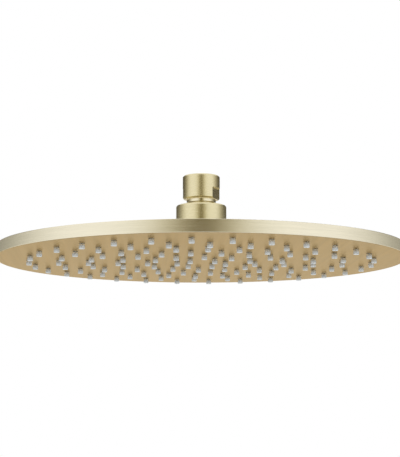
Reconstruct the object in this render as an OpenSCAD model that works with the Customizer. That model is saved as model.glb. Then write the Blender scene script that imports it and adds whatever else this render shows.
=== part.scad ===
// Round overhead shower head on a ball swivel, face down and inlet up.
// The origin is the centre of the inlet's mouth and Z points up, out of the inlet.

/* [Spray face] */
// Outside diameter of the face
face_d = 300; // [200:1:400]
// Height of the plain rim band, from the face to the back
rim_h = 8.8; // [8.6:0.1:12]
// Thickness of the sheet that makes the face and its rim
face_t = 1.2; // [1:0.1:1.4]
// Rounding of the rim's outer edges
rim_round = 0.5; // [0.3:0.1:0.9]

/* [Nozzles] */
// Radius of the innermost ring of nozzles
first_ring_r = 17.85; // [16:0.05:19]
// Distance from one ring of nozzles to the next
ring_pitch = 21.7; // [20:0.1:22]
// Outside diameter of a nozzle
nozzle_d = 4; // [3.6:0.1:4.6]
// How far a nozzle stands out of the face
nozzle_reach = 3.6; // [3:0.1:5]
// Rounding of a nozzle's tip
tip_round = 0.35; // [0.2:0.05:0.6]
// Diameter of a nozzle's outlet
outlet_d = 1.2; // [0.8:0.1:1.6]
// Diameter of a nozzle's funnel, where the water enters it
funnel_d = 2.8; // [2.4:0.1:3]
// Thickness of the rubber mat that carries the nozzles
mat_t = 1.4; // [1.2:0.1:1.6]

/* [Backing plate] */
// Thickness of the plate that presses on the mat
plate_t = 1.6; // [1.4:0.1:1.8]
// Height of the plate's ring ribs
rib_h = 1.3; // [0.8:0.1:1.6]
// Thickness of the plate's ring ribs
rib_t = 1.2; // [0.8:0.1:1.6]
// Diameter of the plate's water holes
water_hole_d = 4.4; // [3.6:0.1:5]
// Thread diameter of the screws that hold the plate down
plate_screw_d = 2.5; // [2:0.1:2.6]
// Head diameter of those screws
plate_head_d = 5; // [4.6:0.1:5.6]
// Head height of those screws
plate_head_h = 1.6; // [1.2:0.1:1.8]
// Width across flats of those screws' sockets
plate_socket = 1.5; // [1.3:0.1:2]
// Outside diameter of the studs that take them
plate_stud_d = 4.4; // [4:0.1:4.6]

/* [Rear cover] */
// Thickness of the rear cover
cover_t = 2; // [1.8:0.1:2.2]
// Height of the dome in the middle of the cover
dome_rise = 9.2; // [8:0.1:12]
// Radius of the dome's flat top
dome_flat_r = 24; // [22:0.5:30]
// Rounding of the dome's shoulder
dome_crown = 8; // [6:0.5:10]
// Steepest slope of the dome's side, in degrees
dome_slope = 60; // [50:1:65]
// Number of screws round the cover
cover_screws_n = 12; // [8:1:16]
// Thread diameter of the cover's screws
cover_screw_d = 3; // [2.5:0.1:3.2]
// Head diameter of the cover's countersunk screws
cover_head_d = 5.6; // [5:0.1:6]
// Width across flats of the cover screws' sockets
cover_socket = 2; // [1.5:0.1:2.5]
// Depth of the cover screws' sockets
cover_socket_depth = 1.3; // [1:0.1:1.6]
// Outside diameter of the studs that take the cover's screws
cover_stud_d = 6.4; // [6:0.1:6.6]
// Distance from the studs' circle to the inside of the rim
stud_inset = 7.8; // [6:0.1:8.4]
// Width of the seal inside the studs
seal_w = 3; // [2.6:0.1:3.2]
// Depth of the groove in the cover that holds the seal
seal_groove = 0.8; // [0.6:0.1:1]

/* [Swivel] */
// Diameter of the ball
ball_d = 28; // [27.6:0.1:28.4]
// Diameter of the neck where it meets the ball
neck_low_d = 20.8; // [19.8:0.1:21.2]
// Diameter of the neck under the nut
neck_d = 21.6; // [21.2:0.1:22]
// Height of the neck's full width, down from the nut
neck_band = 2.2; // [1.6:0.1:3]
// Height of the taper below it
neck_taper = 0.8; // [0.6:0.1:1.6]
// Tilt each way on each of the two tilting axes, in degrees
tilt = 12; // [8:1:12]
// Height of the collar's top above the ball's centre
mouth_h = 9.5; // [9:0.1:9.6]
// Outside diameter of the collar
collar_d = 37.2; // [36.4:0.1:40]
// Height of the collar
collar_h = 19.4; // [18.8:0.1:21]
// Rounding of the collar's shoulder
collar_round = 1.5; // [1.2:0.1:2.4]
// Diameter of the thread that joins the collar to the hub
collar_thread_d = 32; // [31.8:0.1:32.2]
// Thickness of the rubber cup under the ball
cup_t = 1.35; // [1.1:0.05:1.4]
// Width of the split in the friction ring
ring_split = 1.2; // [0.8:0.1:2]

/* [Hub] */
// Diameter of the hub's flange
flange_d = 41; // [40:0.5:44]
// Thickness of the hub's flange
flange_t = 3; // [2.6:0.1:4]
// Distance across the flange's two spanner flats
flange_flats = 36; // [34:0.5:38]
// Thread diameter of the hub's tail
tail_d = 23; // [22.6:0.1:24]
// Diameter of the water way through the hub
hub_bore_d = 12; // [10:0.5:12]
// Thickness of the gasket under the flange
gasket_t = 0.8; // [0.6:0.1:1.2]
// Thickness of the washer over the locknut
washer_t = 1; // [0.8:0.1:1.4]
// Distance across the locknut's flats
locknut_af = 30; // [29:0.5:34]
// Height of the locknut
locknut_h = 4.5; // [4:0.1:5]

/* [Inlet] */
// Outside diameter of the inlet nut
nut_d = 27.5; // [27:0.1:30]
// Height of the inlet nut
nut_h = 17.8; // [16.6:0.1:20]
// Bare neck between the nut and the collar
neck_gap = 4.5; // [4.4:0.1:7]
// Distance across the nut's two spanner flats
nut_flats = 23.5; // [23:0.1:25]
// Height of the spanner flats
nut_flats_h = 8.2; // [4:0.1:9]
// Turn of the spanner flats round the nut, from the front, in degrees
nut_flats_turn = 65; // [0:5:90]
// Bevel of the nut's two ends
nut_bevel = 0.9; // [0.4:0.1:1.2]
// Bore of the inlet thread, clear of a half-inch pipe thread
thread_bore_d = 21; // [20.96:0.01:21.2]
// Length of the inlet thread
thread_l = 8.6; // [8:0.1:10]
// Thickness of the inlet washer
inlet_washer_t = 2; // [1.6:0.1:2.4]
// Diameter of the inlet washer
inlet_washer_d = 18.6; // [18:0.1:18.8]
// Outside diameter of the flow regulator
regulator_d = 16; // [15.4:0.1:16.2]
// Height of the flow regulator
regulator_h = 6.8; // [6.6:0.1:7.2]
// Diameter of the water way through the ball
ball_bore_d = 10; // [8:0.5:11]

/* [Hidden] */

$fn = 96;
disc_fn = 240;
small_fn = 40;
// Cuts run this far past the faces that they open
over = 0.5;
// Gap between pieces that are pushed or screwed together
seat_fit = 0.05;
// Gap between pieces that turn or slide on each other
run_fit = 0.05;
// Gap round a screw or a stud that passes through a plate
pass_fit = 0.1;
// Small bevel that breaks an edge
edge = 0.4;
// How far the gasket and the washer stay inside the flats above and below them
gasket_inset = 1;
washer_inset = 0.5;

brass = [0.72, 0.62, 0.42];
steel = [0.74, 0.74, 0.75];
rubber = [0.13, 0.13, 0.14];
silicone = [0.80, 0.84, 0.88];
moulded_white = [0.90, 0.90, 0.88];
moulded_grey = [0.55, 0.57, 0.60];

// The ball's reach: two tilts at right angles add up to a larger one
ball_r = ball_d / 2;
ball_clear = 0.35;
cone = acos(cos(tilt) * cos(tilt));
neck_angle = asin(neck_low_d / 2 / ball_r);
ring_margin = 1.5;
ring_top_h = ball_r * cos(neck_angle + cone + ring_margin);
ring_bottom_h = -0.5;
ring_r = collar_thread_d / 2 - run_fit;
axial_play = 0.1;
lip_h = ring_top_h + axial_play;
hub_top_h = ring_bottom_h - axial_play;
// The mouth clears the neck at full tilt
mouth_clear = 0.45;
mouth_low_r = neck_low_d / 2 / cos(cone) + lip_h * tan(cone) + mouth_clear;
mouth_top_r = neck_d / 2 / cos(cone) + mouth_h * tan(cone) + mouth_clear;
// The rubber cup, as angles from the bottom of the ball
cup_low_angle = 36;
cup_high_angle = 54;
pocket_angle = cup_high_angle + tilt + ring_margin;
pocket_r = ball_r + run_fit + cup_t + run_fit;
pocket_top_h = -(ball_r + ball_clear) * cos(pocket_angle);
ball_wall = 0.9;
ball_cut_r = ball_bore_d / 2 + ball_wall;
ball_cut_h = sqrt(ball_r * ball_r - ball_cut_r * ball_cut_r);
neck_foot_h = sqrt(ball_r * ball_r - neck_low_d * neck_low_d / 4);

// Heights, from the inlet's mouth down
nut_bottom_z = -nut_h;
collar_top_z = nut_bottom_z - neck_gap;
ball_z = collar_top_z - mouth_h;
collar_bottom_z = collar_top_z - collar_h;
collar_gap = 0.3;
flange_top_z = collar_bottom_z - collar_gap;
flange_bottom_z = flange_top_z - flange_t;
dome_top_z = flange_bottom_z - gasket_t;
cover_top_z = dome_top_z - dome_rise;
cover_bottom_z = cover_top_z - cover_t;
face_z = cover_top_z - rim_h;
sheet_top_z = face_z + face_t;
mat_top_z = sheet_top_z + mat_t;
plate_top_z = mat_top_z + plate_t;
// The plate's studs stop just short of its top, so that the screw heads pull it down
stud_pull = 0.2;
plate_stud_top_z = plate_top_z - stud_pull;
// Metal left under a stud's threaded hole, and the room below a screw's tip
stud_floor = 0.8;
tip_gap = 0.3;
washer_top_z = dome_top_z - cover_t;
locknut_top_z = washer_top_z - washer_t;
tail_proud = 0.6;
tail_bottom_z = locknut_top_z - locknut_h - tail_proud;
thread_bottom_z = -thread_l;
screen_t = 0.4;
washer_seat_z = thread_bottom_z - inlet_washer_t - screen_t;
regulator_gap = 0.2;
regulator_top_z = washer_seat_z - regulator_gap;
regulator_seat_z = regulator_top_z - regulator_h;

// Radii of the spray chamber, from the rim inwards
face_r = face_d / 2;
rim_inner_r = face_r - face_t;
stud_circle_r = rim_inner_r - stud_inset;
seal_gap = 0.4;
seal_outer_r = stud_circle_r - cover_stud_d / 2 - seal_gap;
seal_inner_r = seal_outer_r - seal_w;
mat_r = seal_inner_r - seal_gap;

// Rings of nozzles, as many as the mat has room for
mat_edge = 5;
ring_n = floor((mat_r - mat_edge - first_ring_r) / ring_pitch) + 1;
function nozzle_ring_r(i) = first_ring_r + i * ring_pitch;
// Each ring has six nozzles more than the one inside it, but the fifth has no more than the fourth
function ring_count(i) = i < 4 ? 6 * (i + 1) : 6 * i;
// Every other ring starts half a step round, and the fifth breaks the turn
function ring_start(i) = (i < 4 ? 1 - i % 2 : i % 2) * 180 / ring_count(i);
nozzles = [
    for (i = [0:ring_n - 1])
        for (k = [0:ring_count(i) - 1])
            [nozzle_ring_r(i), ring_start(i) + k * 360 / ring_count(i)]
];
// The plate's screws stand halfway between two rings: after which ring, how many, and where they start
plate_screw_rings = [[1, 6, 15], [ring_n - 2, 12, 7.5]];
plate_screw_places = [
    for (s = plate_screw_rings)
        for (k = [0:s[1] - 1])
            [nozzle_ring_r(s[0] + 0.5), s[2] + k * 360 / s[1]]
];
// Ribs run between the rings that no screws stand between
rib_gaps = [0, for (i = [2:ring_n - 3]) i];

// Turns a place given as radius and angle from the front into a position
module at(place) {
    rotate(place[1] - 90) translate([place[0], 0, 0]) children();
}

// A flat ring from radius r1 to r2, or a disc where r1 is 0
module disc(r1, r2, z1, z2, fn = 96) {
    translate([0, 0, z1]) difference() {
        cylinder(r = r2, h = z2 - z1, $fn = fn);
        if (r1 > 0) translate([0, 0, -over]) cylinder(r = r1, h = z2 - z1 + 2 * over, $fn = fn);
    }
}

// Cuts the corner at p of a profile to a radius; dx and dy are the ways that the corner points
module round_corner(p, r, dx, dy) {
    translate(p) scale([dx, dy]) difference() {
        translate([-r, -r]) square(r + over);
        translate([-r, -r]) circle(r, $fn = small_fn);
    }
}

module torus(r, section_d, z) {
    translate([0, 0, z]) rotate_extrude() translate([r, 0]) circle(d = section_d, $fn = small_fn);
}

// The filled half section under a dome's curve: a flat top, a crown arc and a foot arc
module dome_section(top_r, rise, crown_r, foot_r, slope) {
    crown = [top_r, rise - crown_r];
    meet = crown + crown_r * [sin(slope), cos(slope)];
    foot = crown + (crown_r + foot_r) * [sin(slope), cos(slope)];
    intersection() {
        square([foot.x, rise]);
        union() {
            translate(crown) circle(crown_r);
            difference() {
                polygon([[0, 0], [0, rise], [top_r, rise], crown, meet, [foot.x, 0]]);
                translate(foot) circle(foot_r, $fn = 120);
            }
        }
    }
}

// The pan: a flat sheet with a turned-up rim, nozzle holes and two kinds of stud
module face_plate() {
    hole_r = nozzle_d / 2 + pass_fit;
    inner_round = rim_round;
    color(brass) difference() {
        union() {
            translate([0, 0, face_z]) rotate_extrude($fn = disc_fn) difference() {
                square([face_r, rim_h]);
                round_corner([face_r, 0], rim_round, 1, -1);
                round_corner([face_r, rim_h], rim_round / 2, 1, 1);
                difference() {
                    translate([-over, face_t]) square([rim_inner_r + over, rim_h]);
                    round_corner([rim_inner_r, face_t], inner_round, 1, -1);
                }
            }
            for (k = [1:cover_screws_n])
                at([stud_circle_r, k * 360 / cover_screws_n])
                    stud(cover_stud_d, cover_bottom_z);
            for (p = plate_screw_places)
                at(p) stud(plate_stud_d, plate_stud_top_z);
        }
        for (p = nozzles)
            at(p) translate([0, 0, face_z - over]) cylinder(r = hole_r, h = face_t + 2 * over, $fn = small_fn);
        for (k = [1:cover_screws_n])
            at([stud_circle_r, k * 360 / cover_screws_n])
                translate([0, 0, face_z + stud_floor])
                    cylinder(d = cover_screw_d, h = rim_h, $fn = small_fn);
        for (p = plate_screw_places)
            at(p) translate([0, 0, face_z + stud_floor])
                cylinder(d = plate_screw_d, h = rim_h, $fn = small_fn);
    }
}

// A round stud that grows out of the sheet, up to the height top_z
module stud(d, top_z) {
    root_z = face_z + face_t / 2;
    translate([0, 0, root_z]) cylinder(d = d, h = top_z - root_z, $fn = small_fn);
}

// One moulded mat with every nozzle; each is a plain tube with a funnel above its outlet
module nozzle_mat() {
    nozzle_l = nozzle_reach + face_t;
    stud_hole_r = plate_stud_d / 2 + pass_fit;
    outlet_l = 2;
    color(silicone) difference() {
        union() {
            disc(0, mat_r, sheet_top_z, mat_top_z, disc_fn);
            for (p = nozzles)
                at(p) translate([0, 0, sheet_top_z - nozzle_l]) rotate_extrude($fn = small_fn) difference() {
                    square([nozzle_d / 2, nozzle_l + mat_t / 2]);
                    round_corner([nozzle_d / 2, 0], tip_round, 1, -1);
                }
        }
        for (p = nozzles)
            at(p) translate([0, 0, sheet_top_z - nozzle_l]) nozzle_bore(nozzle_l + mat_t, outlet_l);
        for (p = plate_screw_places)
            at(p) translate([0, 0, sheet_top_z - over]) cylinder(r = stud_hole_r, h = mat_t + 2 * over);
    }
}

module nozzle_bore(l, outlet_l) {
    rotate_extrude($fn = small_fn) polygon([
        [0, -over], [outlet_d / 2, -over], [outlet_d / 2, outlet_l], [funnel_d / 2, l], [funnel_d / 2, l + over],
        [0, l + over],
    ]);
}

// The plate that holds the mat down, with a water hole over each nozzle and ribs between the rings
module backing_plate() {
    stud_hole_r = plate_stud_d / 2 + pass_fit;
    color(moulded_white) difference() {
        union() {
            disc(0, mat_r, mat_top_z, plate_top_z, disc_fn);
            for (i = rib_gaps)
                rib(nozzle_ring_r(i + 0.5));
            rib(mat_r - rib_t / 2);
        }
        for (p = nozzles)
            at(p) translate([0, 0, mat_top_z - over]) cylinder(d = water_hole_d, h = plate_t + 2 * over);
        for (p = plate_screw_places)
            at(p) translate([0, 0, mat_top_z - over]) cylinder(r = stud_hole_r, h = plate_t + 2 * over);
    }
}

module rib(r) {
    disc(r - rib_t / 2, r + rib_t / 2, plate_top_z - over, plate_top_z + rib_h, disc_fn);
}

module plate_screws() {
    tip_z = face_z + stud_floor + tip_gap;
    color(steel) for (p = plate_screw_places) at(p) difference() {
        union() {
            translate([0, 0, tip_z]) cylinder(d = plate_screw_d, h = plate_top_z - tip_z, $fn = small_fn);
            translate([0, 0, plate_top_z]) rotate_extrude($fn = small_fn) difference() {
                square([plate_head_d / 2, plate_head_h]);
                round_corner([plate_head_d / 2, plate_head_h], plate_head_h / 2, 1, 1);
            }
        }
        translate([0, 0, plate_top_z + plate_head_h / 3]) hex(plate_socket, plate_head_h);
    }
}

// A six-sided prism by its width across flats
module hex(af, h) {
    cylinder(d = af / cos(30), h = h, $fn = 6);
}

// A rubber ring squeezed between the face and the groove of the cover
module chamber_seal() {
    corner = 0.6;
    h = cover_bottom_z + seal_groove - sheet_top_z;
    color(rubber) translate([0, 0, sheet_top_z]) rotate_extrude($fn = disc_fn) difference() {
        translate([seal_inner_r, 0]) square([seal_w, h]);
        round_corner([seal_outer_r, 0], corner, 1, -1);
        round_corner([seal_outer_r, h], corner, 1, 1);
        round_corner([seal_inner_r, 0], corner, -1, -1);
        round_corner([seal_inner_r, h], corner, -1, 1);
    }
}

// The back of the head: a disc that drops into the rim, with a pressed dome in the middle
module rear_cover() {
    crown = dome_crown;
    foot = dome_rise / (1 - cos(dome_slope)) - crown;
    color(brass) difference() {
        translate([0, 0, cover_bottom_z]) rotate_extrude($fn = disc_fn) difference() {
            union() {
                square([rim_inner_r - seat_fit, cover_t]);
                translate([0, cover_t]) dome_section(dome_flat_r, dome_rise, crown, foot, dome_slope);
            }
            dome_section(dome_flat_r, dome_rise, crown - cover_t, foot + cover_t, dome_slope);
        }
        disc(seal_inner_r - seat_fit, seal_outer_r + seat_fit, cover_bottom_z - over, cover_bottom_z + seal_groove,
            disc_fn);
        translate([0, 0, washer_top_z - over]) cylinder(d = tail_d + 2 * pass_fit, h = cover_t + 2 * over);
        for (k = [1:cover_screws_n])
            at([stud_circle_r, k * 360 / cover_screws_n]) {
                translate([0, 0, cover_bottom_z - over])
                    cylinder(d = cover_screw_d + 2 * pass_fit, h = cover_t + 2 * over, $fn = small_fn);
                countersink(cover_head_d + 2 * pass_fit, over);
            }
    }
}

// The cone of a countersunk head, flush with the back
module countersink(d, above) {
    translate([0, 0, cover_top_z - d / 2]) cylinder(d1 = 0, d2 = d, h = d / 2, $fn = small_fn);
    translate([0, 0, cover_top_z]) cylinder(d = d, h = above, $fn = small_fn);
}

module cover_screws() {
    tip_z = face_z + stud_floor + tip_gap;
    color(brass) for (k = [1:cover_screws_n]) at([stud_circle_r, k * 360 / cover_screws_n]) difference() {
        union() {
            translate([0, 0, tip_z]) cylinder(d = cover_screw_d, h = cover_top_z - tip_z, $fn = small_fn);
            translate([0, 0, cover_top_z - cover_head_d / 2])
                cylinder(d1 = 0, d2 = cover_head_d, h = cover_head_d / 2, $fn = small_fn);
        }
        translate([0, 0, cover_top_z - cover_socket_depth]) hex(cover_socket, cover_socket_depth + over);
    }
}

module hub_locknut() {
    bevel_angle = 30;
    color(brass) translate([0, 0, locknut_top_z - locknut_h]) difference() {
        intersection() {
            hex(locknut_af, locknut_h);
            nut_cone(locknut_af / 2, locknut_h, bevel_angle);
        }
        translate([0, 0, -over]) cylinder(d = tail_d + 2 * seat_fit, h = locknut_h + 2 * over);
    }
}

// A barrel that takes the corners off the lower face of a nut
module nut_cone(r, h, angle) {
    reach = r / cos(30) - r;
    rotate_extrude() polygon([
        [0, 0], [r, 0], [r + reach + over, (reach + over) * tan(angle)], [r + reach + over, h], [0, h],
    ]);
}

module hub_washer() {
    color(steel) disc(tail_d / 2 + pass_fit, locknut_af / 2 - washer_inset, locknut_top_z, washer_top_z);
}

module hub_gasket() {
    color(rubber) disc(tail_d / 2 + pass_fit, flange_flats / 2 - gasket_inset, dome_top_z, flange_bottom_z);
}

// The socket of the swivel: a threaded cup on a flange, and a threaded tail through the cover
module swivel_hub() {
    cup_r = collar_thread_d / 2;
    cup_top_h = hub_top_h;
    flange_top_h = flange_top_z - ball_z;
    flange_bottom_h = flange_bottom_z - ball_z;
    tail_bottom_h = tail_bottom_z - ball_z;
    color(brass) difference() {
        translate([0, 0, ball_z]) rotate_extrude() difference() {
            polygon([
                [0, tail_bottom_h], [tail_d / 2 - edge, tail_bottom_h], [tail_d / 2, tail_bottom_h + edge],
                [tail_d / 2, flange_bottom_h], [flange_d / 2 - edge, flange_bottom_h],
                [flange_d / 2, flange_bottom_h + edge], [flange_d / 2, flange_top_h - edge],
                [flange_d / 2 - edge, flange_top_h], [cup_r, flange_top_h], [cup_r, cup_top_h - edge],
                [cup_r - edge, cup_top_h], [0, cup_top_h],
            ]);
            socket_section(cup_top_h + over);
            translate([-hub_bore_d / 2, tail_bottom_h - over])
                square([hub_bore_d, over - tail_bottom_h + pocket_top_h]);
        }
        for (a = [0, 180])
            rotate(a) translate([flange_flats / 2, -flange_d / 2, flange_bottom_z - over])
                cube([flange_d, flange_d, flange_t + over]);
    }
}

// The hollow of the socket, cut through its axis: ball room above a ledge, and below it a deeper pocket for
// the rubber cup
module socket_section(top_h) {
    intersection() {
        circle(ball_r + ball_clear);
        translate([-ball_d, pocket_top_h - over]) square([2 * ball_d, top_h + over - pocket_top_h]);
    }
    intersection() {
        circle(pocket_r);
        translate([-ball_d, -2 * ball_d]) square([2 * ball_d, 2 * ball_d + pocket_top_h]);
    }
}

// The rubber cup that the ball turns on, of one thickness all over
module ball_seal() {
    inner_r = ball_r + run_fit;
    outer_r = inner_r + cup_t;
    color(rubber) translate([0, 0, ball_z]) rotate_extrude() difference() {
        circle(outer_r);
        circle(inner_r);
        // What is left of the half circle is the band between the two angles
        polygon([
            [0, 0], outer_r * 2 * [sin(cup_high_angle), -cos(cup_high_angle)], [outer_r * 2, outer_r * 2],
            [-outer_r * 2, outer_r * 2], [-outer_r * 2, -outer_r * 2],
            outer_r * 2 * [sin(cup_low_angle), -cos(cup_low_angle)],
        ]);
    }
}

// A split ring of hard plastic that the collar presses on the ball
module friction_ring() {
    color(moulded_white) translate([0, 0, ball_z]) difference() {
        translate([0, 0, ring_bottom_h]) cylinder(r = ring_r, h = ring_top_h - ring_bottom_h);
        sphere(ball_r + run_fit);
        translate([-ring_split / 2, 0, ring_bottom_h - over])
            cube([ring_split, ball_d, ring_top_h - ring_bottom_h + 2 * over]);
    }
}

// The turned collar, with a lip that holds the ball and a mouth that widens upwards
module collar_nut() {
    lip_z = ball_z + lip_h - collar_bottom_z;
    bore_r = collar_thread_d / 2 + seat_fit;
    color(brass) translate([0, 0, collar_bottom_z]) rotate_extrude($fn = 120) difference() {
        square([collar_d / 2, collar_h]);
        round_corner([collar_d / 2, collar_h], collar_round, 1, 1);
        round_corner([collar_d / 2, 0], edge, 1, -1);
        translate([-over, -over]) square([bore_r + over, lip_z + over]);
        polygon([
            [-over, lip_z - over], [mouth_low_r, lip_z - over], [mouth_low_r, lip_z], [mouth_top_r, collar_h],
            [mouth_top_r, collar_h + over], [-over, collar_h + over],
        ]);
    }
}

// Nut, neck and ball turned from one bar, bored through, with two spanner flats
module ball_connector() {
    nut_r = nut_d / 2;
    neck_l = nut_bottom_z - ball_z;
    taper_high_h = neck_l - neck_band;
    taper_low_h = taper_high_h - neck_taper;
    color(brass) difference() {
        union() {
            translate([0, 0, ball_z]) rotate_extrude() polygon([
                [0, 0], [neck_low_d / 2, 0], [neck_low_d / 2, taper_low_h], [neck_d / 2, taper_high_h],
                [neck_d / 2, neck_l], [nut_r - nut_bevel, neck_l], [nut_r, neck_l + nut_bevel],
                [nut_r, -ball_z - nut_bevel], [nut_r - nut_bevel, -ball_z], [0, -ball_z],
            ]);
            translate([0, 0, ball_z]) intersection() {
                sphere(ball_r);
                translate([0, 0, -ball_cut_h]) cylinder(r = ball_d, h = ball_cut_h + neck_foot_h);
            }
        }
        for (a = [0, 180])
            rotate(nut_flats_turn - 90 + a) translate([nut_flats / 2, -nut_d, nut_bottom_z - over])
                cube([nut_d, 2 * nut_d, nut_flats_h + over]);
        translate([0, 0, thread_bottom_z]) cylinder(d = thread_bore_d, h = thread_l + over);
        translate([0, 0, washer_seat_z]) cylinder(d = inlet_washer_d + 2 * pass_fit, h = thread_l);
        translate([0, 0, regulator_seat_z]) cylinder(d = regulator_d + 2 * pass_fit, h = thread_l);
        translate([0, 0, ball_z - ball_r]) cylinder(d = ball_bore_d, h = -ball_z);
    }
}

module inlet_washer() {
    hole_r = screen_mesh_r + 0.4;
    color(rubber) disc(hole_r, inlet_washer_d / 2, washer_seat_z + screen_t, thread_bottom_z);
}

// A flat strainer whose rim is trapped under the washer
module filter_screen() {
    hole_pitch = 1.45;
    hole_d = 0.95;
    rows = 4;
    color(steel) difference() {
        disc(0, inlet_washer_d / 2, washer_seat_z, washer_seat_z + screen_t);
        for (i = [-rows:rows])
            for (j = [-rows:rows])
                if (abs(i + j) <= rows)
                    translate([hole_pitch * (i + j / 2), hole_pitch * j * cos(30), washer_seat_z - over])
                        cylinder(d = hole_d, h = screen_t + 2 * over, $fn = 16);
    }
}
screen_mesh_r = 6.4;

// The regulator's cup, with a lobed post in the middle and a groove for its seal outside
module regulator_body() {
    body_r = regulator_d / 2;
    recess_depth = 4.2;
    post_h = 3;
    lobes = 6;
    lobe_r = 0.8;
    groove_z = regulator_h / 2;
    color(moulded_grey) translate([0, 0, regulator_seat_z]) difference() {
        union() {
            difference() {
                cylinder(r = body_r, h = regulator_h);
                translate([0, 0, regulator_h - recess_depth]) cylinder(r = regulator_recess_r, h = regulator_h);
            }
            cylinder(r = regulator_post_r, h = regulator_h - recess_depth + post_h);
            for (k = [1:lobes])
                rotate(k * 360 / lobes) translate([regulator_post_r, 0, 0])
                    cylinder(r = lobe_r, h = regulator_h - recess_depth + post_h, $fn = small_fn);
        }
        disc(body_r - regulator_groove, body_r + over, groove_z - regulator_groove_w / 2,
            groove_z + regulator_groove_w / 2);
        for (k = [1:lobes])
            rotate((k + 0.5) * 360 / lobes) translate([regulator_post_r + lobe_r + 1, 0, -over])
                cylinder(r = lobe_r, h = regulator_h, $fn = small_fn);
    }
}
regulator_recess_r = 5.6;
regulator_post_r = 2.3;
regulator_groove = 1.4;
regulator_groove_w = 1.8;

// The soft ring that closes round the post as the pressure rises
module flow_ring() {
    section_d = 2.3;
    floor_h = 2.6;
    color(rubber) torus(regulator_recess_r - pass_fit - section_d / 2, section_d,
        regulator_seat_z + floor_h + section_d / 2);
}

module regulator_seal() {
    section_d = regulator_groove;
    color(rubber) torus(regulator_d / 2 - regulator_groove + seat_fit / 2 + section_d / 2, section_d,
        regulator_seat_z + regulator_h / 2);
}

ball_connector();
inlet_washer();
filter_screen();
regulator_body();
flow_ring();
regulator_seal();
ball_seal();
friction_ring();
collar_nut();
swivel_hub();
hub_gasket();
hub_washer();
hub_locknut();
rear_cover();
cover_screws();
chamber_seal();
backing_plate();
plate_screws();
nozzle_mat();
face_plate();
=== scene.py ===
"""The look of the shower head: finishes for its pieces, the pipe thread in its inlet, and a plain studio."""
import math

import bpy
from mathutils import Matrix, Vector


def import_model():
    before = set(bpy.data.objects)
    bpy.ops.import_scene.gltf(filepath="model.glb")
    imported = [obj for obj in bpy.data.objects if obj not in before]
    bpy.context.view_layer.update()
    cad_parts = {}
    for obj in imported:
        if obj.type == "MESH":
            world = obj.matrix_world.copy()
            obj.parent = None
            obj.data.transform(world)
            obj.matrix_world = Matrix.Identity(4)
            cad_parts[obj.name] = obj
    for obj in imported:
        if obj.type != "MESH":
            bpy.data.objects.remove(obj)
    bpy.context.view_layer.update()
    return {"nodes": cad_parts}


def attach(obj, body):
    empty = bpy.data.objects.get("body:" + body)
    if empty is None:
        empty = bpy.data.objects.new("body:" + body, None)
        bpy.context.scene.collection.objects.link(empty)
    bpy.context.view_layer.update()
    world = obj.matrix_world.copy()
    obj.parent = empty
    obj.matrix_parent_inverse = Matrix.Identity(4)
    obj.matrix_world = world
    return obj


MM = 0.001

# Sizes of the head, as in its source
FACE_R = 150 * MM
FACE_Z = -63.8 * MM
NOZZLE_REACH = 3.6 * MM
BALL_Z = -31.8 * MM
NUT_BOTTOM_Z = -17.8 * MM
COLLAR_TOP_Z = -22.3 * MM

# The inlet's half-inch pipe thread
THREAD_R = 10.5 * MM
THREAD_DEPTH = 1.16 * MM
THREAD_PITCH = 1.814 * MM
THREAD_LENGTH = 8.6 * MM

# Where the photo was taken from
CAMERA_PLACE = Vector((-53.1, -949.9, -179.3)) * MM
CAMERA_LENS = 102.28
CAMERA_PITCH = 0.1462
CAMERA_AIM_LEFT = 0.001

FLOOR_Z = -0.4

# The studio band that the metal reflects: its radius, its two edges, and where its lower half ends
BAND_R = 0.6
BAND_LOW_Z = -0.085
BAND_HIGH_Z = 0.32
BAND_SPLIT_Z = 0.045
BAND_TURN = math.radians(-3.2)


class Wire:
    """A socket of a material. Arithmetic on it adds Math nodes, and make() adds any other node."""

    def __init__(self, tree, socket=None):
        self.tree = tree
        self.socket = socket

    def make(self, kind, settings=None, sockets=None, out=0):
        node = self.tree.nodes.new("ShaderNode" + kind)
        for name, value in (settings or {}).items():
            if name == "stops":
                set_stops(node.color_ramp, value)
            else:
                setattr(node, name, value)
        for key, value in (sockets or {}).items():
            if isinstance(value, Wire):
                self.tree.links.new(value.socket, node.inputs[key])
            else:
                node.inputs[key].default_value = value
        return Wire(self.tree, node.outputs[out] if node.outputs else None)

    def math(self, operation, *values):
        return self.make("Math", {"operation": operation}, dict(enumerate(values)))

    def __add__(self, other):
        return self.math("ADD", self, other)

    def __sub__(self, other):
        return self.math("SUBTRACT", self, other)

    def __rsub__(self, other):
        return self.math("SUBTRACT", other, self)

    def __mul__(self, other):
        return self.math("MULTIPLY", self, other)

    def __truediv__(self, other):
        return self.math("DIVIDE", self, other)

    __radd__ = __add__
    __rmul__ = __mul__

    def ramp(self, low, high):
        """0 below low, 1 above high, and smooth between them."""
        return self.make(
            "MapRange", {"interpolation_type": "SMOOTHSTEP"}, {"Value": self, "From Min": low, "From Max": high}
        )


def set_stops(ramp, stops):
    while len(ramp.elements) < len(stops):
        ramp.elements.new(1)
    for element, (place, colour) in zip(ramp.elements, stops):
        element.position = place
        element.color = (*colour, 1)


def new_material(name):
    material = bpy.data.materials.new(name)
    material.use_nodes = True
    material.node_tree.nodes.clear()
    return material, Wire(material.node_tree)


def finish_material(material, shader):
    shader.make("OutputMaterial", None, {"Surface": shader})
    return material


def mix_colour(factor, a, b):
    return factor.make("Mix", {"data_type": "RGBA"}, {0: factor, 6: a, 7: b}, 2)


def rgb(colour, level=1):
    return (*(c * level for c in colour), 1)


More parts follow.
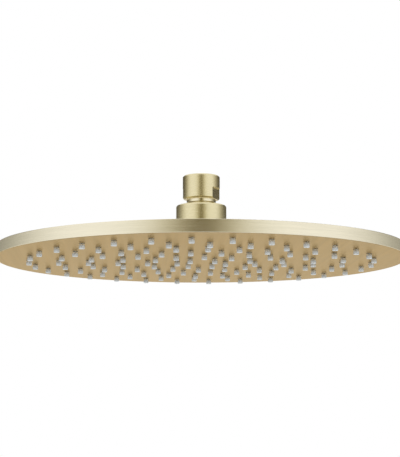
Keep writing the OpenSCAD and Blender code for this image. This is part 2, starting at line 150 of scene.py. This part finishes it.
class Place:
    """Where a point of a piece is: x, y and z, its distance from the axis, and its direction from the axis."""

    def __init__(self, wire):
        coords = wire.make("TexCoord", None, None, "Object")
        parts = wire.make("SeparateXYZ", None, {0: coords})
        self.coords = coords
        self.x, self.y, self.z = (Wire(wire.tree, s) for s in parts.socket.node.outputs)
        self.r = wire.math("SQRT", self.x * self.x + self.y * self.y + 1e-8)

    def around(self, turns, lines):
        """Coordinates that run slowly round the axis and fast across the lathe's lines."""
        across = (self.r + self.z) * lines
        return self.x.make("CombineXYZ", None, {0: self.x / self.r * turns, 1: self.y / self.r * turns, 2: across})

    def along_y(self, slow, lines):
        """Coordinates that run slowly from front to back and fast from side to side."""
        return self.x.make("CombineXYZ", None, {0: self.x * lines, 1: self.y * slow, 2: self.z * slow})


def noise(coords, scale, detail=3, rough=0.5):
    return coords.make(
        "TexNoise", None, {"Vector": coords, "Scale": scale, "Detail": detail, "Roughness": rough}, "Fac"
    )


def brushed_shader(place, grain, coarse, colour, tint, roughness, depth, spread=0.1):
    """Brushed metal: grain and coarse are the coordinates of its fine and its wide brush lines."""
    fine = noise(grain, 1, 3, 0.6)
    wide = noise(coarse, 1, 2)
    cloud = noise(place.coords, 28, 3)
    tone = fine * 0.45 + wide * 0.35 + cloud * 0.2
    base = mix_colour(tone.ramp(0.3, 0.7), rgb(colour, 1 - spread), rgb(colour, 1 + spread))
    bump = fine.make(
        "Bump", None, {"Strength": 0.5, "Distance": depth, "Height": fine * 0.7 + wide * 0.3}
    )
    return base.make(
        "BsdfPrincipled",
        None,
        {
            "Base Color": base,
            "Metallic": 1.0,
            "Roughness": roughness + (fine - 0.5) * 0.12 + (cloud - 0.5) * 0.08,
            "Specular Tint": rgb(tint),
            "Normal": bump,
        },
    )


RIM_BRASS = (0.86, 0.80, 0.63)
# Painted shade and painted warm reflection: the spray face's brass, darker and warmer than the rim's, and its warm
# specular tint.
SHADED_FACE_BRASS = (0.50, 0.36, 0.19)
SHADED_FACE_TINT = (0.95, 0.83, 0.58)
TURNED_BRASS = (0.78, 0.70, 0.45)
NECK_BRASS = (0.86, 0.79, 0.58)
BACK_BRASS = (0.76, 0.69, 0.48)
PALE_TINT = (0.9, 0.86, 0.78)


def pan_finish_and_painted_shade():
    """The pan: champagne brass round the rim, and on the spray face the same brass straight-brushed in a darker,
    warmer colour, which is painted shade and painted warm reflection.
    """
    material, wire = new_material("pan_brass_and_painted_shade")
    place = Place(wire)
    rim = brushed_shader(
        place, place.around(9, 4200), place.around(3, 900), RIM_BRASS, PALE_TINT, 0.24, 0.00004, 0.05
    )
    shaded_face = brushed_shader(
        place, place.along_y(22, 1900), place.along_y(6, 260), SHADED_FACE_BRASS, SHADED_FACE_TINT, 0.34, 0.00006, 0.12
    )
    normal = wire.make("NewGeometry", None, None, "Normal")
    down = wire.make("SeparateXYZ", None, {0: normal}, 2) * -1
    # Downward-facing surfaces of the spray face get the darker, warmer brass: painted shade and painted warm
    # reflection.
    down_facing_shade_mask = down.ramp(0.25, 0.6) * (1 - place.z.ramp(FACE_Z + 0.2 * MM, FACE_Z + 0.5 * MM))
    return finish_material(material, wire.make("MixShader", None, {0: down_facing_shade_mask, 1: rim, 2: shaded_face}))


def turned_finish(name, colour, roughness, depth=0.00005):
    """Brass as it leaves the lathe, with fine rings."""
    material, wire = new_material(name)
    place = Place(wire)
    shader = brushed_shader(
        place, place.around(7, 5200), place.around(3, 800), colour, PALE_TINT, roughness, depth, 0.05
    )
    return finish_material(material, shader)


def inlet_finish():
    """The inlet: a brushed nut, and below it a paler, more polished neck and ball."""
    material, wire = new_material("inlet_brass")
    place = Place(wire)
    nut = brushed_shader(
        place, place.around(7, 5200), place.around(3, 800), TURNED_BRASS, PALE_TINT, 0.26, 0.00005, 0.05
    )
    neck = brushed_shader(
        place, place.around(4, 6000), place.around(2, 700), NECK_BRASS, PALE_TINT, 0.18, 0.00002, 0.03
    )
    above = place.z.ramp(NUT_BOTTOM_Z - 0.1 * MM, NUT_BOTTOM_Z + 0.1 * MM)
    return finish_material(material, wire.make("MixShader", None, {0: above, 1: neck, 2: nut}))


def silicone_finish():
    """Milky silicone: clearer where a nozzle leaves the face, and whiter towards its tip; its darker, warmer
    colour near the face is painted shade and painted brass reflection.
    """
    material, wire = new_material("milky_silicone")
    place = Place(wire)
    out = (FACE_Z - place.z) / NOZZLE_REACH
    # Painted shade and painted brass reflection: the colour turns darker and warmer towards the face.
    colour = out.make(
        "ValToRGB",
        {"stops": [
            (0.0, (0.66, 0.64, 0.55)), (0.35, (0.66, 0.68, 0.66)), (0.7, (0.74, 0.81, 0.86)),
            (1.0, (0.82, 0.87, 0.90)),
        ]},
        {"Fac": out},
    )
    cloud = noise(place.coords, 900, 2)
    shader = wire.make(
        "BsdfPrincipled",
        None,
        {
            "Base Color": colour,
            "Roughness": 0.36 + (cloud - 0.5) * 0.1,
            "Specular IOR Level": 0.4,
            "Alpha": 0.22 + out.ramp(0.0, 0.7) * 0.74,
            "Normal": wire.make("Bump", None, {"Strength": 0.2, "Distance": 0.0001, "Height": cloud}),
        },
    )
    return finish_material(material, shader)


def moulded_finish(name, colour, roughness, grain_scale, bump=0.25, metallic=0.0):
    """Moulded or stamped material with a fine grain."""
    material, wire = new_material(name)
    place = Place(wire)
    grain = noise(place.coords, grain_scale, 3)
    cloud = noise(place.coords, 40, 2)
    base = mix_colour(cloud.ramp(0.3, 0.7), rgb(colour, 0.94), rgb(colour, 1.05))
    shader = wire.make(
        "BsdfPrincipled",
        None,
        {
            "Base Color": base,
            "Metallic": metallic,
            "Roughness": roughness + (grain - 0.5) * 0.15,
            "Normal": wire.make("Bump", None, {"Strength": bump, "Distance": 0.0001, "Height": grain}),
        },
    )
    return finish_material(material, shader)


def dress_nodes(nodes):
    """Gives every piece of the frame its finish."""
    turned = turned_finish("turned_brass", TURNED_BRASS, 0.26)
    spun = turned_finish("spun_brass", BACK_BRASS, 0.28)
    rubber = moulded_finish("black_rubber_grain", (0.016, 0.016, 0.018), 0.62, 1600)
    white = moulded_finish("white_moulding", (0.80, 0.80, 0.77), 0.45, 1200)
    grey = moulded_finish("grey_moulding", (0.27, 0.29, 0.32), 0.45, 1200)
    steel = moulded_finish("stamped_steel", (0.58, 0.58, 0.59), 0.3, 2400, 0.1, 1.0)
    finishes = {
        "ball_connector": inlet_finish(), "collar_nut": turned, "swivel_hub": turned, "hub_locknut": turned,
        "rear_cover": spun, "cover_screws": turned, "face_plate": pan_finish_and_painted_shade(), "nozzle_mat": silicone_finish(),
        "inlet_washer": rubber, "flow_ring": rubber, "regulator_seal": rubber, "ball_seal": rubber,
        "hub_gasket": rubber, "chamber_seal": rubber, "friction_ring": white, "backing_plate": white,
        "regulator_body": grey, "filter_screen": steel, "hub_washer": steel, "plate_screws": steel,
    }
    for name, node in nodes.items():
        for s in node.material_slots:
            s.material = finishes[name]
    return finishes


def mesh_object(name, points, faces, material, smooth=True):
    mesh = bpy.data.meshes.new(name)
    mesh.from_pydata(points, [], faces)
    mesh.materials.append(material)
    for polygon in mesh.polygons:
        polygon.use_smooth = smooth
    mesh.update()
    piece = bpy.data.objects.new(name, mesh)
    bpy.context.collection.objects.link(piece)
    return piece


def pipe_thread(material):
    """The ridge of the female pipe thread, wound down the inlet's bore, with a run-out at each end."""
    per_turn = 72
    root = THREAD_R + 0.05 * MM
    turns = (THREAD_LENGTH - THREAD_PITCH) / THREAD_PITCH
    steps = int(turns * per_turn)
    points, faces = [], []
    for i in range(steps + 1):
        angle = math.radians(i * 360 / per_turn)
        z = -THREAD_PITCH * 0.55 - THREAD_PITCH * i / per_turn
        rise = min(1, i / (per_turn * 0.25), (steps - i) / (per_turn * 0.25))
        crest = THREAD_R - THREAD_DEPTH * rise
        section = [
            (root, 0.46), (root - 0.05 * MM, 0.42), (crest + 0.12 * MM * rise, 0.12), (crest, 0.05),
            (crest, -0.05), (crest + 0.12 * MM * rise, -0.12), (root - 0.05 * MM, -0.42), (root, -0.46),
        ]
        for r, h in section:
            points.append((r * math.cos(angle), r * math.sin(angle), z + h * THREAD_PITCH))
    count = len(section)
    for i in range(steps):
        for k in range(count):
            a, b = i * count + k, i * count + (k + 1) % count
            faces.append((a, b, b + count, a + count))
    faces.append(tuple(range(count)))
    faces.append(tuple(steps * count + k for k in reversed(range(count))))
    piece = mesh_object("pipe_thread", points, faces, material)
    piece.data.flip_normals()
    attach(piece, "inlet")
    return piece


def studio_band():
    """The dim and bright parts of the studio, as a band all round that only reflections see."""
    steps = 96
    points, faces = [], []
    for i in range(steps):
        angle = math.tau * i / steps
        x, y = BAND_R * math.cos(angle), BAND_R * math.sin(angle)
        points += [(x, y, BAND_LOW_Z), (x, y, BAND_HIGH_Z)]
    for i in range(steps):
        a, b = 2 * i, 2 * ((i + 1) % steps)
        faces.append((a, b, b + 1, a + 1))
    material, wire = new_material("studio_band")
    place = Place(wire)
    turn = wire.math("ARCTAN2", place.x, place.y * -1) - BAND_TURN
    from_front = turn.math("ABSOLUTE", turn) / math.pi
    high = from_front.make("ValToRGB", {"stops": band_stops(HIGH_BAND)}, {"Fac": from_front})
    low = from_front.make("ValToRGB", {"stops": band_stops(LOW_BAND)}, {"Fac": from_front})
    split = place.z.ramp(BAND_SPLIT_Z - 0.015, BAND_SPLIT_Z + 0.015)
    finish_material(
        material, wire.make("Emission", None, {"Color": mix_colour(split, low, high), "Strength": 1.0})
    )
    piece = mesh_object("studio_band", points, faces, material)
    piece.visible_camera = False
    piece.visible_diffuse = False
    piece.visible_transmission = False
    piece.visible_shadow = False


# Light round the studio, from the front round to the back: degrees, and the colour there
HIGH_BAND = [
    (0, (0.13, 0.10, 0.03)), (8, (0.28, 0.24, 0.12)), (14, (0.54, 0.50, 0.34)), (20, (0.76, 0.72, 0.60)),
    (28, (0.93, 0.92, 0.86)), (40, (1.0, 1.0, 1.0)), (70, (1.0, 1.0, 1.0)), (80, (0.85, 0.84, 0.80)),
    (90, (0.65, 0.62, 0.54)), (100, (0.40, 0.37, 0.29)), (112, (0.24, 0.22, 0.16)), (130, (0.11, 0.10, 0.08)),
    (156, (0.09, 0.08, 0.06)), (168, (0.30, 0.29, 0.26)), (180, (0.55, 0.54, 0.50)),
]
LOW_BAND = [
    (0, (0.12, 0.09, 0.03)), (7, (0.26, 0.22, 0.12)), (14, (0.52, 0.48, 0.36)), (22, (0.76, 0.74, 0.66)),
    (32, (0.93, 0.93, 0.90)), (46, (1.0, 1.0, 1.0)), (68, (0.98, 0.98, 0.98)), (88, (0.82, 0.82, 0.80)),
    (112, (0.52, 0.52, 0.49)), (135, (0.38, 0.38, 0.36)), (180, (0.40, 0.40, 0.38)),
]


def band_stops(rows):
    return [(degrees / 180, colour) for degrees, colour in rows]


def seen_directly(wire):
    """1 for the camera's own rays and for what metal and clear parts reflect or let through, else 0."""
    path = wire.make("LightPath").socket.node
    camera, glossy, through = (
        Wire(wire.tree, path.outputs[n]) for n in ("Is Camera Ray", "Is Glossy Ray", "Is Transmission Ray")
    )
    return (camera + glossy + through).math("MINIMUM", camera + glossy + through, 1.0)


def floor():
    """A pale floor that keeps the head's shadow, and turns white further out."""
    reach = 14
    steps = 64
    points = [(0, 0, FLOOR_Z)]
    points += [
        (reach * math.cos(math.tau * i / steps), reach * math.sin(math.tau * i / steps), FLOOR_Z)
        for i in range(steps)
    ]
    faces = [(0, 1 + i, 1 + (i + 1) % steps) for i in range(steps)]
    material, wire = new_material("pale_floor")
    place = Place(wire)
    diffuse = wire.make("BsdfDiffuse", None, {"Color": rgb((0.86, 0.86, 0.85))})
    white = wire.make("Emission", None, {"Color": rgb((1, 1, 1)), "Strength": 1.0})
    far = place.r.ramp(1.0, 2.2) * seen_directly(wire)
    finish_material(material, wire.make("MixShader", None, {0: far, 1: diffuse, 2: white}))
    mesh_object("floor", points, faces, material, False)


def world():
    """White where it is seen or reflected, and a softer light on everything else."""
    scene_world = bpy.data.worlds.new("studio")
    scene_world.use_nodes = True
    tree = scene_world.node_tree
    tree.nodes.clear()
    wire = Wire(tree)
    strength = 0.75 + seen_directly(wire) * 0.25
    light = wire.make("Background", None, {"Color": rgb((1, 1, 1)), "Strength": strength})
    wire.make("OutputWorld", None, {"Surface": light})
    bpy.context.scene.world = scene_world


def lamp(name, place, size, power):
    data = bpy.data.lights.new(name, "AREA")
    data.shape = "DISK"
    data.size = size
    data.energy = power
    piece = bpy.data.objects.new(name, data)
    bpy.context.collection.objects.link(piece)
    piece.location = place
    piece.rotation_euler = (Vector((0, 0, -0.04)) - Vector(place)).to_track_quat("-Z", "Y").to_euler()
    piece.visible_glossy = False


def camera():
    data = bpy.data.cameras.new("camera")
    data.sensor_width = 36
    data.lens = CAMERA_LENS
    data.clip_start = 0.01
    data.clip_end = 100
    piece = bpy.data.objects.new("camera", data)
    bpy.context.collection.objects.link(piece)
    piece.location = CAMERA_PLACE
    heading = math.atan2(-CAMERA_PLACE.y, -CAMERA_PLACE.x) + CAMERA_AIM_LEFT
    piece.rotation_euler = (math.pi / 2 + CAMERA_PITCH, 0, heading - math.pi / 2)
    bpy.context.scene.camera = piece


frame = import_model()
finishes = dress_nodes(frame["nodes"])
pipe_thread(finishes["collar_nut"])
studio_band()
floor()
world()
lamp("key", (-1.2, -1.9, 0.9), 1.4, 8)
lamp("fill", (0.8, -1.9, -0.25), 1.4, 8)
lamp("top", (0.3, 0.8, 1.9), 1.5, 5)
camera()
bpy.context.scene.view_settings.view_transform = "Standard"
